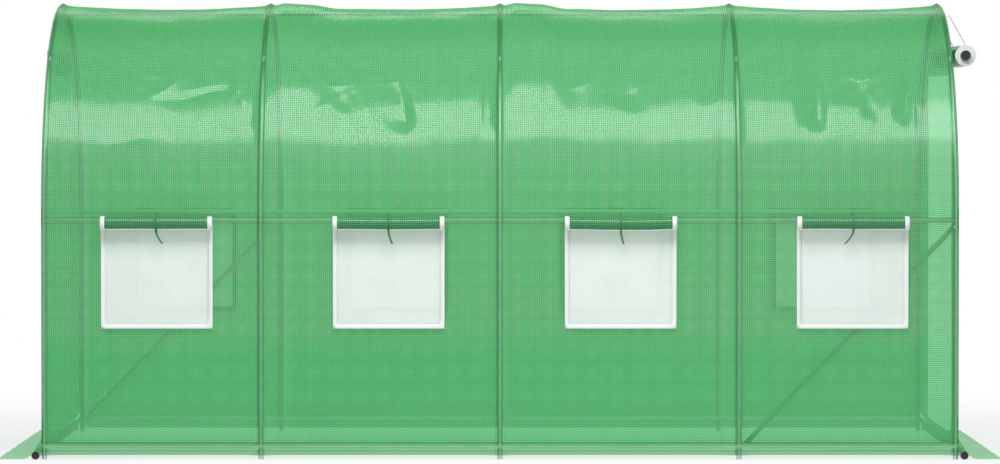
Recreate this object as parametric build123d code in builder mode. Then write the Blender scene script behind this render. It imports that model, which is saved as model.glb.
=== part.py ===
from math import asin, atan2, cos, degrees, radians, sin, sqrt
import os

from build123d import *

# Polytunnel greenhouse: five steel hoops under a reinforced film cover, in millimetres.
# X runs along the ridge, Y across the tunnel, Z up from the ground, origin at the middle of the footprint.

# Hoops
hoop_span = 2000.0
leg_height = 1137.0
end_bay = 1013.0
middle_bay = 1117.0
tube_diameter = 25.0
tube_wall = 1.0
tube_sides = 8
crown_half_angle = 42.5
arch_sweep = 180.0

# Swaged joints, where one tube is necked down to plug into the next
neck_length = 25.0
neck_clearance = 0.4
neck_wall = 1.0
collar_length = 3.0
joint_gap = 0.4
socket_spare = 5.0

# Rails inside the hoops
rail_offset = 30.0
ridge_rail_drop = 33.0
mid_rail_drop = 19.0
bottom_rail_height = 63.5
rail_overhang = 9.0
rail_joint_offset = 90.0
seat_clearance = 0.3

# Saddle clips where two tubes cross
clip_size = 24.0
saddle_depth = 4.5

# Braces with flattened ends
brace_tab_radius = 12.5
brace_tab_thickness = 3.0
brace_tab_reach = 46.0
brace_press_length = 16.0
brace_corner_gap = 1.5
brace_end_inset = 6.0
brace_head_drop = 31.0
bush_diameter = 18.0

# Cover sheet
cover_clearance = 0.3
cover_thickness = 2.0
roof_strips = 8
hem_height = 19.0

# Windows
window_pitch = 1083.0
window_shift = 22.0
window_width = 521.0
window_height = 518.0
window_head_drop = 7.0
tape_width = 21.0
tape_thickness = 2.0
screen_thickness = 1.5
window_roll_diameter = 66.0
window_roll_drop = 26.0
window_tie_width = 8.0
window_tie_thickness = 2.0
window_tie_tail = 48.0
windows_per_side = 4
roll_sides = 16

# Doors in the end walls
doorway_width = 1200.0
doorway_head_drop = 337.0
door_lap = 20.0
door_head_lap = 114.0
door_roll_diameter = 103.0
door_roll_rise = 92.0
door_roll_standoff = 14.0
door_bar_diameter = 50.0
door_bar_wall = 1.5
door_bar_overhang = 12.0
door_tie_spacing = 600.0
door_tie_width = 12.0
door_tie_thickness = 3.0
door_tie_head_drop = 49.0
door_tie_standoff = 18.0
door_tie_rise = 6.0
door_sheet_angle = 120.0

# Ground flaps and their bars
skirt_top = 92.0
skirt_reach = 205.0
ground_bar_diameter = 34.0
ground_bar_wall = 1.5
ground_bar_standoff = 25.0
bar_overhang = 4.0
plug_flange = 2.0
plug_flange_thickness = 5.0
plug_spigot = 20.0
skirt_bend = 60.0

os.makedirs("parts", exist_ok=True)

# Derived sizes
hoop_radius = hoop_span / 2
tube_radius = tube_diameter / 2
tube_bore = tube_radius - tube_wall
neck_radius = tube_bore - neck_clearance
neck_bore = neck_radius - neck_wall
hoop_places = [-middle_bay - end_bay, -middle_bay, 0.0, middle_bay, middle_bay + end_bay]
last_hoop = hoop_places[-1]
cover_inner = hoop_radius + tube_radius + cover_clearance
cover_outer = cover_inner + cover_thickness
wall_inner = last_hoop + tube_radius + cover_clearance
wall_outer = wall_inner + cover_thickness
rail_y = hoop_radius - rail_offset
crown_height = leg_height + hoop_radius
window_sill = leg_height - window_head_drop - window_height
doorway_head = crown_height - doorway_head_drop
door_roll_height = doorway_head + door_roll_rise
door_tie_head = crown_height - door_tie_head_drop
mid_rail_height = leg_height - mid_rail_drop
ridge_rail_height = crown_height - ridge_rail_drop


def export(part, name):
    part.label = name
    export_step(part, f"parts/{name}.step")


def ring_sketch(plane, outer, inner):
    """A tube's cross-section on a plane, with as many sides as a frame of this length needs to look round."""
    with BuildSketch(plane) as ring:
        RegularPolygon(outer, tube_sides)
        RegularPolygon(inner, tube_sides, mode=Mode.SUBTRACT)
    return ring.sketch


def straight_tube(start, end, swaged=False):
    """One straight tube; a swaged one carries a neck past its end that plugs into the next tube."""
    run = Vector(*end) - Vector(*start)
    seat = Plane(origin=start, z_dir=run)
    with BuildPart() as tube:
        extrude(ring_sketch(seat, tube_radius, tube_bore), amount=run.length)
        if swaged:
            collar = seat.offset(run.length - collar_length)
            extrude(ring_sketch(collar, tube_radius, neck_bore), amount=collar_length)
            extrude(ring_sketch(collar, neck_radius, neck_bore), amount=collar_length + neck_length)
    return tube.part


# The arch of a hoop, drawn in the plane X = 0 about the spring point above the ridge line's foot
arch_axis = Axis((0, 0, leg_height), (1, 0, 0))
joint_angle = degrees(joint_gap / hoop_radius)
neck_angle = degrees(neck_length / hoop_radius)
socket_angle = degrees((neck_length + socket_spare) / hoop_radius)
shoulder_angle = (arch_sweep - 2 * crown_half_angle) / 2


def arch_plane(angle):
    """The plane across the hoop tube at an angle up the arch from the back spring line."""
    y = hoop_radius * cos(radians(angle))
    z = leg_height + hoop_radius * sin(radians(angle))
    tangent = (0, -sin(radians(angle)), cos(radians(angle)))
    return Plane(origin=(0, y, z), x_dir=(1, 0, 0), z_dir=tangent)


def arch_run(start_angle, end_angle, radius):
    """The space inside a tube's outline along the arch between two angles."""
    with BuildSketch(arch_plane(start_angle)) as profile:
        RegularPolygon(radius, tube_sides)
    arc = end_angle - start_angle
    return revolve(profile.sketch, axis=arch_axis, revolution_arc=arc, mode=Mode.PRIVATE)


# Legs: straight posts from the ground to the spring line, necked at the top
with BuildPart() as front_legs:
    for x in hoop_places:
        add(straight_tube((x, -hoop_radius, 0), (x, -hoop_radius, leg_height), swaged=True))
export(front_legs.part, "front_legs")

with BuildPart() as back_legs:
    mirror(front_legs.part, about=Plane.XZ)
export(back_legs.part, "back_legs")

# Arches: a crown necked at both ends and two shoulders with a socket at each end for the necks.
# Between its sockets a bent tube is closed from view and stays solid.
with BuildPart() as crown:
    crown_start = shoulder_angle
    crown_end = arch_sweep - shoulder_angle
    add(arch_run(crown_start, crown_end, tube_radius))
    add(arch_run(crown_start - neck_angle, crown_end + neck_angle, neck_radius))

with BuildPart() as arch:
    foot_end = joint_angle
    crown_side = shoulder_angle - joint_angle
    add(arch_run(foot_end, crown_side, tube_radius))
    add(arch_run(foot_end, foot_end + socket_angle, tube_bore), mode=Mode.SUBTRACT)
    add(arch_run(crown_side - socket_angle, crown_side, tube_bore), mode=Mode.SUBTRACT)
    mirror(arch.part, about=Plane.XZ)
    add(crown.part)

for number, x in enumerate(hoop_places, start=1):
    with BuildPart() as hoop_arch:
        with Locations((x, 0, 0)):
            add(arch.part)
    export(hoop_arch.part, f"hoop_{number}_arch")

# Rails along the tunnel: four tubes plugged end to end, each joint a hand's width past a hoop
rail_ends = [-last_hoop - rail_overhang]
rail_ends += [x + rail_joint_offset for x in hoop_places[1:-1]]
rail_ends += [last_hoop + rail_overhang]


def rail(y, z):
    """A rail along X at a place, made of swaged tubes."""
    with BuildPart() as run:
        for number, (start, end) in enumerate(zip(rail_ends, rail_ends[1:])):
            last = number == len(rail_ends) - 2
            shoulder = 0 if last else joint_gap
            add(straight_tube((start, y, z), (end - shoulder, y, z), swaged=not last))
    return run.part


with BuildPart() as ridge_rail:
    add(rail(0, ridge_rail_height))
export(ridge_rail.part, "ridge_rail")

with BuildPart() as mid_rails:
    add(rail(-rail_y, mid_rail_height))
    mirror(mid_rails.part, about=Plane.XZ)
export(mid_rails.part, "mid_rails")

with BuildPart() as bottom_rails:
    add(rail(-rail_y, bottom_rail_height))
    mirror(bottom_rails.part, about=Plane.XZ)
export(bottom_rails.part, "bottom_rails")

# Cross rails at both ends, between the two bottom rails
end_rail_reach = rail_y - tube_radius - seat_clearance
with BuildPart() as end_rails:
    for x in (-last_hoop, last_hoop):
        add(straight_tube((x, -end_rail_reach, bottom_rail_height), (x, end_rail_reach, bottom_rail_height)))
export(end_rails.part, "end_rails")

# Braces: a diagonal tube in one end bay on each side, flattened at both ends
brace_y = rail_y - tube_radius - seat_clearance - brace_tab_thickness / 2
brace_foot_inset = tube_radius + brace_tab_radius + brace_corner_gap
brace_head_height = mid_rail_height - brace_head_drop


def pressed_section(plane, half_thickness):
    """The brace tube's outline on a plane across it, pressed towards a flat."""
    turns = [radians(360 * i / tube_sides) for i in range(tube_sides)]
    with BuildSketch(plane) as outline:
        Polygon(*[(half_thickness * cos(turn), tube_radius * sin(turn)) for turn in turns], align=None)
    return outline.sketch


def brace(foot_x, head_x, y):
    """A brace from a foot beside one hoop up to a head beside the next, its ends pressed flat."""
    foot = Vector(foot_x, y, bottom_rail_height)
    head = Vector(head_x, y, brace_head_height)
    along = (head - foot).normalized()
    span = (head - foot).length
    across = Plane(origin=foot, x_dir=(0, 1, 0), z_dir=along)
    tab_seat = Plane(origin=foot, x_dir=along, z_dir=(0, -1, 0)).offset(-brace_tab_thickness / 2)
    with BuildPart() as tube:
        round_start = across.offset(brace_tab_reach)
        extrude(ring_sketch(round_start, tube_radius, tube_bore), amount=span - 2 * brace_tab_reach)
        for end, inward in ((0, 1), (span, -1)):
            round_end = end + inward * brace_tab_reach
            flat_end = round_end - inward * brace_press_length
            tube_end = pressed_section(across.offset(round_end), tube_radius)
            flat = pressed_section(across.offset(flat_end), brace_tab_thickness / 2)
            loft([tube_end, flat], ruled=True)
            with BuildSketch(tab_seat):
                with Locations(((end + flat_end) / 2, 0)):
                    Rectangle(abs(flat_end - end), 2 * brace_tab_radius)
                with Locations((end, 0)):
                    Circle(brace_tab_radius)
            extrude(amount=brace_tab_thickness)
    return tube.part


with BuildPart() as braces:
    add(brace(middle_bay + brace_foot_inset, last_hoop - brace_end_inset, -brace_y))
    add(brace(-last_hoop + brace_foot_inset, -middle_bay - brace_end_inset, brace_y))
export(braces.part, "braces")

# Bushes that hold the brace heads off the hoop legs
bush_start = hoop_radius - tube_radius - seat_clearance
bush_end = brace_y + brace_tab_thickness / 2 + seat_clearance
with BuildPart() as brace_bushes:
    for x, side in ((last_hoop - brace_end_inset, -1), (-middle_bay - brace_end_inset, 1)):
        with BuildSketch(Plane(origin=(x, side * bush_end, brace_head_height), z_dir=(0, side, 0))):
            RegularPolygon(bush_diameter / 2, tube_sides)
        extrude(amount=bush_start - bush_end)
export(brace_bushes.part, "brace_bushes")

# Saddle clips: a block between two crossing tubes, hollowed to seat both
groove_radius = tube_radius + seat_clearance


def saddle_clip(hoop_point, inward, hoop_direction, offset):
    """A clip from a point on a hoop's axis towards a rail that lies an offset further in."""
    seat = Plane(origin=hoop_point, x_dir=(1, 0, 0), z_dir=inward)
    rail_point = Vector(*hoop_point) + Vector(*inward) * offset
    with BuildPart() as clip:
        with BuildSketch(seat.offset(tube_radius - saddle_depth)):
            Rectangle(clip_size, clip_size)
        extrude(amount=offset - 2 * (tube_radius - saddle_depth))
        with BuildSketch(Plane(origin=hoop_point, z_dir=hoop_direction)):
            RegularPolygon(groove_radius, tube_sides)
        extrude(amount=clip_size, both=True, mode=Mode.SUBTRACT)
        with BuildSketch(Plane(origin=tuple(rail_point), z_dir=(1, 0, 0))):
            RegularPolygon(groove_radius, tube_sides)
        extrude(amount=clip_size, both=True, mode=Mode.SUBTRACT)
    return clip.part


with BuildPart() as ridge_clips:
    for x in hoop_places:
        add(saddle_clip((x, 0, leg_height + hoop_radius), (0, 0, -1), (0, 1, 0), ridge_rail_drop))
export(ridge_clips.part, "ridge_clips")

for name, height in (("mid_clips", mid_rail_height), ("bottom_clips", bottom_rail_height)):
    with BuildPart() as clips:
        for x in hoop_places:
            for side in (-1, 1):
                add(saddle_clip((x, side * hoop_radius, height), (0, -side, 0), (0, 0, 1), rail_offset))
    export(clips.part, name)

# Roof cover: strips of the film over the arches
strip_angle = arch_sweep / roof_strips
for number in range(roof_strips):
    start = number * strip_angle
    with BuildPart() as roof_cover:
        with BuildSketch(Plane.YZ.offset(-wall_inner)):
            with BuildLine():
                outside = CenterArc((0, leg_height), cover_outer, start, strip_angle)
                inside = CenterArc((0, leg_height), cover_inner, start, strip_angle)
                Line(outside @ 0, inside @ 0)
                Line(outside @ 1, inside @ 1)
            make_face()
        extrude(amount=2 * wall_inner)
    export(roof_cover.part, f"roof_cover_{number + 1}")

# Side walls of the cover: a band below the windows, piers between them and a band over them
window_places = [window_shift + (i - (windows_per_side - 1) / 2) * window_pitch for i in range(windows_per_side)]
opening_width = window_width - 2 * tape_width
opening_sill = window_sill + tape_width
opening_head = window_sill + window_height - tape_width
window_middle = window_sill + window_height / 2
side_wall_plane = Plane.XZ.offset(cover_inner)


def wall_band(bottom, top):
    """A band of the front wall over its whole length."""
    with BuildPart() as band:
        with BuildSketch(side_wall_plane):
            with Locations((0, (bottom + top) / 2)):
                Rectangle(2 * wall_inner, top - bottom)
        extrude(amount=cover_thickness)
    return band.part


with BuildPart() as front_wall_lower:
    add(wall_band(hem_height, opening_sill))
with BuildPart() as front_wall_header:
    add(wall_band(opening_head, leg_height))
with BuildPart() as front_wall_piers:
    with BuildSketch(side_wall_plane):
        with Locations((0, (opening_sill + opening_head) / 2)):
            Rectangle(2 * wall_inner, opening_head - opening_sill)
        with Locations(*[(x, (opening_sill + opening_head) / 2) for x in window_places]):
            Rectangle(opening_width, opening_head - opening_sill, mode=Mode.SUBTRACT)
    extrude(amount=cover_thickness)

for front, name in (
    (front_wall_lower, "wall_lower"),
    (front_wall_header, "wall_header"),
    (front_wall_piers, "wall_piers"),
):
    export(front.part, f"front_{name}")
    with BuildPart() as back:
        mirror(front.part, about=Plane.XZ)
    export(back.part, f"back_{name}")

# Window screens: mesh panels sewn behind the openings
with BuildPart() as window_screens:
    with BuildSketch(side_wall_plane):
        with Locations(*[(x, window_middle) for x in window_places]):
            Rectangle(window_width, window_height)
    extrude(amount=-screen_thickness)
    mirror(window_screens.part, about=Plane.XZ)
export(window_screens.part, "window_screens")

# Window tapes: hook-and-loop strips around each opening, on the outside of the film
tape_plane = side_wall_plane.offset(cover_thickness)
with BuildPart() as window_tapes:
    with BuildSketch(tape_plane):
        with Locations(*[(x, window_middle) for x in window_places]):
            Rectangle(window_width, window_height)
            Rectangle(opening_width, window_height - 2 * tape_width, mode=Mode.SUBTRACT)
    extrude(amount=tape_thickness)
    mirror(window_tapes.part, about=Plane.XZ)
export(window_tapes.part, "window_tapes")

# Window flaps: rolled up and tied over the head of each opening
roll_radius = window_roll_diameter / 2
window_roll_height = window_sill + window_height - window_roll_drop
roll_y = cover_outer + tape_thickness + seat_clearance + roll_radius
with BuildPart() as window_rolls:
    with BuildSketch(Plane.YZ):
        with Locations((-roll_y, window_roll_height)):
            RegularPolygon(roll_radius, roll_sides)
    flap_roll = extrude(amount=window_width / 2, both=True, mode=Mode.PRIVATE)
    with Locations(*[(x, 0, 0) for x in window_places]):
        add(flap_roll)
    mirror(window_rolls.part, about=Plane.XZ)
export(window_rolls.part, "window_rolls")

# Window ties: a strap that comes from behind the middle of each roll, round it, and hangs down in front
strap_inner = roll_radius + seat_clearance
strap_outer = strap_inner + window_tie_thickness
tape_outer = cover_outer + tape_thickness
with BuildPart() as window_ties:
    with BuildSketch(Plane.YZ):
        with Locations((-roll_y, window_roll_height)):
            RegularPolygon(strap_outer, roll_sides)
            with Locations((0, -strap_inner - window_tie_tail / 2)):
                Rectangle(window_tie_thickness, window_tie_tail)
            RegularPolygon(strap_inner, roll_sides, mode=Mode.SUBTRACT)
            with Locations((roll_y - tape_outer - seat_clearance + strap_outer, 0)):
                Rectangle(2 * strap_outer, 2 * strap_outer, mode=Mode.SUBTRACT)
    flap_tie = extrude(amount=window_tie_width / 2, both=True, mode=Mode.PRIVATE)
    with Locations(*[(x, 0, 0) for x in window_places]):
        add(flap_tie)
    mirror(window_ties.part, about=Plane.XZ)
export(window_ties.part, "window_ties")

# End walls: a gable over the doorway and a side panel on each side of it
with BuildPart() as right_end_wall:
    with BuildSketch(Plane.YZ.offset(wall_inner)) as end_outline:
        with BuildLine():
            CenterArc((0, leg_height), cover_outer, 0, arch_sweep)
            Polyline(
                (-cover_outer, leg_height),
                (-cover_outer, skirt_top),
                (cover_outer, skirt_top),
                (cover_outer, leg_height),
            )
        make_face()
        with Locations((0, (skirt_top + doorway_head) / 2)):
            Rectangle(doorway_width, doorway_head - skirt_top, mode=Mode.SUBTRACT)
    extrude(amount=cover_thickness)

doorway_head_plane = Plane.XY.offset(doorway_head)
with BuildPart() as right_end_gable:
    add(right_end_wall.part)
    split(bisect_by=doorway_head_plane, keep=Keep.TOP)
with BuildPart() as right_end_sides:
    add(right_end_wall.part)
    split(bisect_by=doorway_head_plane, keep=Keep.BOTTOM)

for right, name in ((right_end_gable, "end_gable"), (right_end_sides, "end_sides")):
    export(right.part, f"right_{name}")
    with BuildPart() as left:
        mirror(right.part, about=Plane.YZ)
    export(left.part, f"left_{name}")

# Left door: closed, its sheet lapped over the outside of the end wall
with BuildPart() as left_door:
    with BuildSketch(Plane.YZ.offset(-wall_outer)):
        with Locations((0, (skirt_top + doorway_head + door_head_lap) / 2)):
            Rectangle(doorway_width + 2 * door_lap, doorway_head + door_head_lap - skirt_top)
    extrude(amount=-cover_thickness)
export(left_door.part, "left_door")

# Right door: rolled up around its bottom bar over the open doorway
door_width = doorway_width + 2 * door_lap
door_roll_radius = door_roll_diameter / 2
door_roll_x = wall_outer + door_roll_standoff + door_roll_radius
door_bar_radius = door_bar_diameter / 2
with BuildPart() as right_door_roll:
    with BuildSketch(Plane.XZ.offset(-door_width / 2)):
        with Locations((door_roll_x, door_roll_height)):
            Circle(door_roll_radius)
            RegularPolygon(door_bar_radius + seat_clearance, roll_sides, mode=Mode.SUBTRACT)
    extrude(amount=door_width)
export(right_door_roll.part, "right_door_roll")

# The sheet that rises from the end wall and goes over the top of the roll
roll_clear = door_roll_radius + seat_clearance
meet = Vector(
    door_roll_x + roll_clear * cos(radians(door_sheet_angle)),
    door_roll_height + roll_clear * sin(radians(door_sheet_angle)),
)
climb = Vector(sin(radians(door_sheet_angle)), -cos(radians(door_sheet_angle)))
sheet_run = (meet.X - wall_outer) / climb.X
with BuildPart() as right_door_head:
    with BuildSketch(Plane.XZ.offset(-door_width / 2)):
        with BuildLine():
            foot = meet - climb * sheet_run
            rise = cover_thickness / climb.X
            tip = meet + Vector(-climb.Y, climb.X) * cover_thickness
            Polyline(
                (foot.X, foot.Y),
                (meet.X, meet.Y),
                (tip.X, tip.Y),
                (foot.X, foot.Y + rise),
                close=True,
            )
        make_face()
    extrude(amount=door_width)
export(right_door_head.part, "right_door_head")

# Door bar: the tube that the door is rolled on
door_bar_reach = door_width / 2 + door_bar_overhang
with BuildPart() as right_door_bar:
    with BuildSketch(Plane.XZ.offset(-door_bar_reach)):
        with Locations((door_roll_x, door_roll_height)):
            RegularPolygon(door_bar_radius, roll_sides)
            RegularPolygon(door_bar_radius - door_bar_wall, roll_sides, mode=Mode.SUBTRACT)
    extrude(amount=2 * door_bar_reach)
export(right_door_bar.part, "right_door_bar")

# Door ties: straps that stand off the gable and run down to the outer side of the roll
toggle = Vector(wall_outer + door_tie_standoff, door_tie_head)
to_roll = Vector(door_roll_x, door_roll_height) - toggle
tie_angle = atan2(to_roll.Y, to_roll.X) + asin(roll_clear / to_roll.length)
tie_run = sqrt(to_roll.length**2 - roll_clear**2)
tie_lean = atan2(door_tie_rise, door_tie_standoff)
tie_start = wall_outer + seat_clearance + door_tie_thickness * sin(tie_lean)
with BuildPart() as one_tie:
    with BuildSketch(Plane.XZ):
        with BuildLine():
            Polyline(
                (tie_start, door_tie_head - door_tie_rise),
                (toggle.X, toggle.Y),
                (toggle.X + tie_run * cos(tie_angle), toggle.Y + tie_run * sin(tie_angle)),
            )
            offset(amount=door_tie_thickness, side=Side.LEFT)
        make_face()
    extrude(amount=door_tie_width / 2, both=True)
with BuildPart() as door_ties:
    with Locations((0, -door_tie_spacing / 2, 0), (0, door_tie_spacing / 2, 0)):
        add(one_tie.part)
export(door_ties.part, "door_ties")

# Ground bars: tubes that lie on the ground under the flaps at both ends
bar_radius = ground_bar_diameter / 2
plug_radius = bar_radius + plug_flange
ground_bar_x = wall_outer + ground_bar_standoff
ground_bar_reach = cover_outer + bar_overhang
with BuildPart() as ground_bars:
    with BuildSketch(Plane.XZ.offset(-ground_bar_reach)):
        for x in (-ground_bar_x, ground_bar_x):
            with Locations((x, plug_radius)):
                RegularPolygon(bar_radius, roll_sides)
                RegularPolygon(bar_radius - ground_bar_wall, roll_sides, mode=Mode.SUBTRACT)
    extrude(amount=2 * ground_bar_reach)
export(ground_bars.part, "ground_bars")


def end_plug(x, side, reach, z, flange_radius, bore_radius):
    """A plug in the end of a bar: a spigot inside the bore and a flange against the tube's end."""
    with BuildPart() as plug:
        with BuildSketch(Plane(origin=(x, side * reach, z), z_dir=(0, side, 0))):
            RegularPolygon(flange_radius, roll_sides)
        extrude(amount=plug_flange_thickness)
        with BuildSketch(Plane(origin=(x, side * reach, z), z_dir=(0, -side, 0))):
            RegularPolygon(bore_radius - neck_clearance, roll_sides)
        extrude(amount=plug_spigot)
    return plug.part


with BuildPart() as bar_plugs:
    for x in (-ground_bar_x, ground_bar_x):
        for side in (-1, 1):
            add(end_plug(x, side, ground_bar_reach, plug_radius, plug_radius, bar_radius - ground_bar_wall))
export(bar_plugs.part, "bar_plugs")

with BuildPart() as door_bar_plugs:
    for side in (-1, 1):
        door_bore = door_bar_radius - door_bar_wall
        add(end_plug(door_roll_x, side, door_bar_reach, door_roll_height, door_bore, door_bore))
export(door_bar_plugs.part, "door_bar_plugs")

# Ground flaps: sheet that leaves the foot of the end wall, drapes over the bar and lies on the ground
drape_radius = bar_radius + seat_clearance
drape_centre = Vector(ground_bar_x, plug_radius)
drape_start = Vector(wall_inner, skirt_top)
drape_fall = drape_centre - drape_start
fall_angle = atan2(drape_fall.Y, drape_fall.X) + asin(drape_radius / drape_fall.length)
drape_slope = cos(fall_angle) / sin(fall_angle)
drape_top = skirt_top + hem_height
with BuildPart() as right_skirt:
    with BuildSketch(Plane.XZ.offset(-cover_outer)):
        with BuildLine():
            FilletPolyline(
                (drape_start.X + (drape_top - skirt_top) * drape_slope, drape_top),
                (drape_start.X - skirt_top * drape_slope, 0),
                (wall_outer + skirt_reach, 0),
                radius=skirt_bend,
            )
            offset(amount=cover_thickness, side=Side.LEFT)
        make_face()
    extrude(amount=2 * cover_outer)
    split(bisect_by=Plane.XY.offset(skirt_top), keep=Keep.BOTTOM)
export(right_skirt.part, "right_skirt")

with BuildPart() as left_skirt:
    mirror(right_skirt.part, about=Plane.YZ)
export(left_skirt.part, "left_skirt")
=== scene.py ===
# %% [markdown]
# A polytunnel greenhouse is a row of bent steel hoops with one large sheet of reinforced film pulled over
# them. This lesson dresses the bare frame: the steel tubes are already there as solids, and everything that
# is soft on the real tunnel, the cover, end walls, rolled flaps, straps and tapes, is built here as thin
# sheets. The frame is loaded first.

# %% Load the frame
import math

import bmesh
import bpy
from mathutils import Matrix, Vector, noise


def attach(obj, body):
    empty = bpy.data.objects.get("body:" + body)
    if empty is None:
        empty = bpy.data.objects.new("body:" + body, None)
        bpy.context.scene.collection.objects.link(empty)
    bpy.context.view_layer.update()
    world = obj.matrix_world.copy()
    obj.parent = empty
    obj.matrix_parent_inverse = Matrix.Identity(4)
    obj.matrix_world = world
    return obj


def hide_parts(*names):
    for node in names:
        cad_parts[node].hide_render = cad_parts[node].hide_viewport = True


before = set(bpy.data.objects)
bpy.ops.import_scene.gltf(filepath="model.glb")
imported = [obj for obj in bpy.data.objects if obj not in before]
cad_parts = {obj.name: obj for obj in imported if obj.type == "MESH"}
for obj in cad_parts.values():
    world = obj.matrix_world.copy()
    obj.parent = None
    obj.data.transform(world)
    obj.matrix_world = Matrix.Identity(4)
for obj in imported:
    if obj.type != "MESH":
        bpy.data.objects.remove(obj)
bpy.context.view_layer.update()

bpy.ops.object.select_all(action="DESELECT")

# %% [markdown]
# The camera stands far from the tunnel with a long lens, so the near and far walls are nearly the same size.
# A lens shift could set the horizon, but aiming the camera slightly down is enough: a pitch of under two
# degrees puts the horizon a quarter of the way down the picture, at the eye level of a standing person.

# %% Camera
focal_pixels = 4697
picture_width = 1000
camera_distance = 22.93
eye_height = 1.6
horizon_row = 117
picture_height = 464
pitch = math.atan((picture_height / 2 - horizon_row) / focal_pixels)
bpy.ops.object.camera_add(location=(0, -camera_distance, eye_height), rotation=(math.pi / 2 - pitch, 0, 0))
camera = bpy.context.object
camera.data.sensor_width = 36
camera.data.lens = focal_pixels / picture_width * camera.data.sensor_width
camera.data.clip_end = 200
bpy.context.scene.camera = camera
print("lens", round(camera.data.lens, 1), "mm, pitch", round(math.degrees(pitch), 2), "degrees down")

# %% [markdown]
# A material is a small graph of nodes. One helper adds a node, sets what is a plain value and links what
# comes from another node, so each material below reads as a short list of what happens on the surface.
# Colours are written as they look on a screen, and one function turns them into a shader's linear values.

# %% Material helpers
def linear(hex_colour):
    """A screen colour such as #4E9A6B as the linear colour that a shader works with."""
    parts = [int(hex_colour[i:i + 2], 16) / 255 for i in (1, 3, 5)]
    return [c / 12.92 if c <= 0.04045 else ((c + 0.055) / 1.055) ** 2.4 for c in parts] + [1.0]


def new_material(name):
    material = bpy.data.materials.new(name)
    material.use_nodes = True
    material.node_tree.nodes.clear()
    return material


def add_node(material, kind, inputs=None, **settings):
    """Add one node. An input is a number, a colour, or another node's output to link."""
    node = material.node_tree.nodes.new("ShaderNode" + kind)
    for setting, value in settings.items():
        setattr(node, setting, value)
    for socket, value in (inputs or {}).items():
        if isinstance(value, bpy.types.NodeSocket):
            material.node_tree.links.new(value, node.inputs[socket])
        else:
            node.inputs[socket].default_value = value
    return node


def ramp(material, factor, low, high, start=0.0, end=1.0):
    """Blend between two colours as a factor goes from start to end."""
    span = add_node(material, "MapRange", {0: factor, 1: start, 2: end}, interpolation_type="SMOOTHSTEP")
    mix = add_node(material, "Mix", {0: span.outputs[0], 6: linear(low), 7: linear(high)}, data_type="RGBA")
    return mix.outputs[2]


def finish_material(material, shader):
    add_node(material, "OutputMaterial", {"Surface": shader})
    return material


# %% [markdown]
# The cover is woven polyethylene: green film laminated over a grid of flat threads, about 10 mm apart. Light
# comes through it, so half of its colour is light scattered from behind. The cells between the threads are
# clear enough to look through, and the threads aren't, which turns the tubes inside into dotted lines. The
# threads are paler and smoother, and where they catch the lamp they become rows of white dots. Four marks
# are painted on the sheet itself: painted light that makes the threads paler on the walls and the hem, dust
# on the crown, a painted shade beside each tube and rail, and a painted highlight over the tubes, rails and
# bolts.

# %% Woven polyethylene film
thread_pitch = 0.010
thread_half_width = 0.0016


def thread_mask(material, coordinate, pitch, half):
    """1 on the threads that repeat along one coordinate, 0 between them."""
    away = add_node(material, "Math", {0: coordinate, 1: pitch / 2}, operation="PINGPONG")
    edge = add_node(material, "MapRange", {0: away.outputs[0], 1: half, 2: half * 1.6, 3: 1.0, 4: 0.0})
    return edge.outputs[0]


def thread_grid(material, flat, pitch, half):
    """1 on the threads that run both ways over a sheet, 0 in its cells."""
    axes = add_node(material, "SeparateXYZ", {0: flat}).outputs
    warp, weft = (thread_mask(material, axes[i], pitch, half) for i in (0, 1))
    return add_node(material, "Math", {0: warp, 1: weft}, operation="MAXIMUM").outputs[0]


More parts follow.
